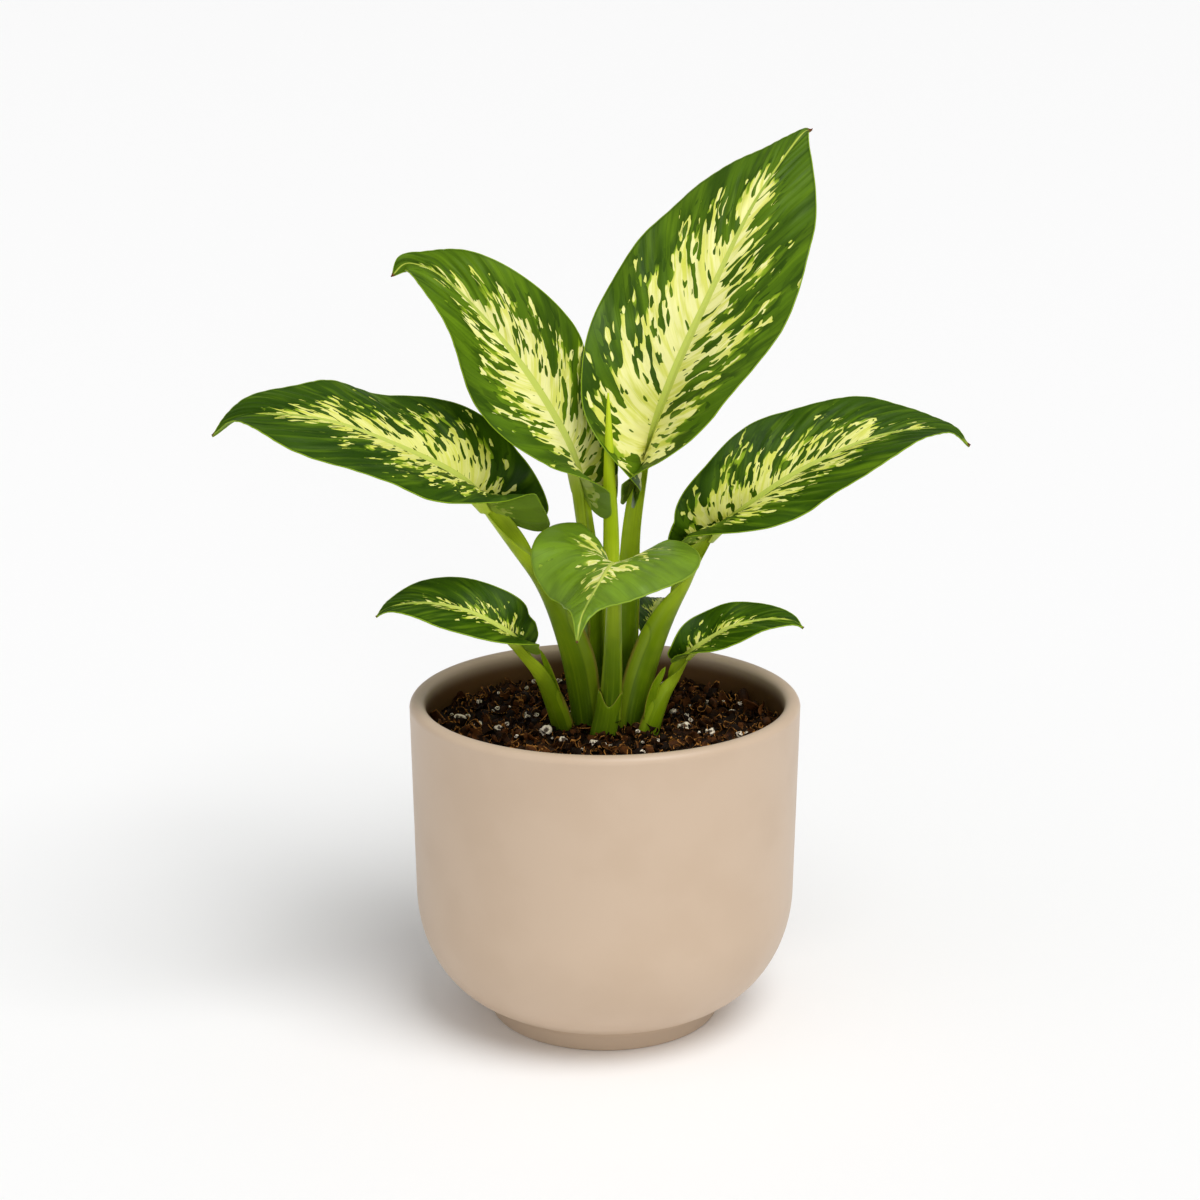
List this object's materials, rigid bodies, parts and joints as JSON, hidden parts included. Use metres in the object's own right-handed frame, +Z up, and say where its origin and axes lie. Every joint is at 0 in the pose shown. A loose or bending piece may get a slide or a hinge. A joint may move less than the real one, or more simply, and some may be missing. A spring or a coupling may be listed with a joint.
{
  "type": "potted dieffenbachia",
  "caption": "Young dieffenbachia with green and cream leaves on sheathed stalks, growing in soil in a round ceramic pot with a foot ring.",
  "frame": {"origin": "on the surface the pot stands on, under the pot's axis", "axes": "+Z up, -Y towards the front, which the heart-shaped leaf faces, +X to the right seen from the front"},
  "size_m": [0.2455, 0.13, 0.2931],
  "materials": {
    "pot_ceramic": "smooth satin, taupe",
    "potting_soil": "loose dark bark and peat shreds",
    "perlite": "porous white grains",
    "leaf_blade": "satin leaf, green margins and cream middle",
    "leaf_stalk": "satin, yellow-green",
    "young_leaf": "satin, bright yellow-green"
  },
  "bodies": {
    "root": {"pot": "pot_ceramic", "soil": "potting_soil", "perlite_1": "perlite", "perlite_2": "perlite", "perlite_3": "perlite", "perlite_4": "perlite", "perlite_5": "perlite", "perlite_6": "perlite", "perlite_7": "perlite", "perlite_8": "perlite", "perlite_9": "perlite", "perlite_10": "perlite", "cane": "leaf_stalk", "furled_leaf": "young_leaf", "leaf_top_stalk": "leaf_stalk", "leaf_top_blade": "leaf_blade", "leaf_upper_left_stalk": "leaf_stalk", "leaf_upper_left_blade": "leaf_blade", "leaf_left_stalk": "leaf_stalk", "leaf_left_blade": "leaf_blade", "leaf_right_stalk": "leaf_stalk", "leaf_right_blade": "leaf_blade", "leaf_front_stalk": "leaf_stalk", "leaf_front_blade": "leaf_blade", "leaf_low_left_stalk": "leaf_stalk", "leaf_low_left_blade": "leaf_blade", "leaf_low_right_stalk": "leaf_stalk", "leaf_low_right_blade": "leaf_blade", "leaf_back_stalk": "leaf_stalk", "leaf_back_blade": "leaf_blade"}
  },
  "joints": []
}
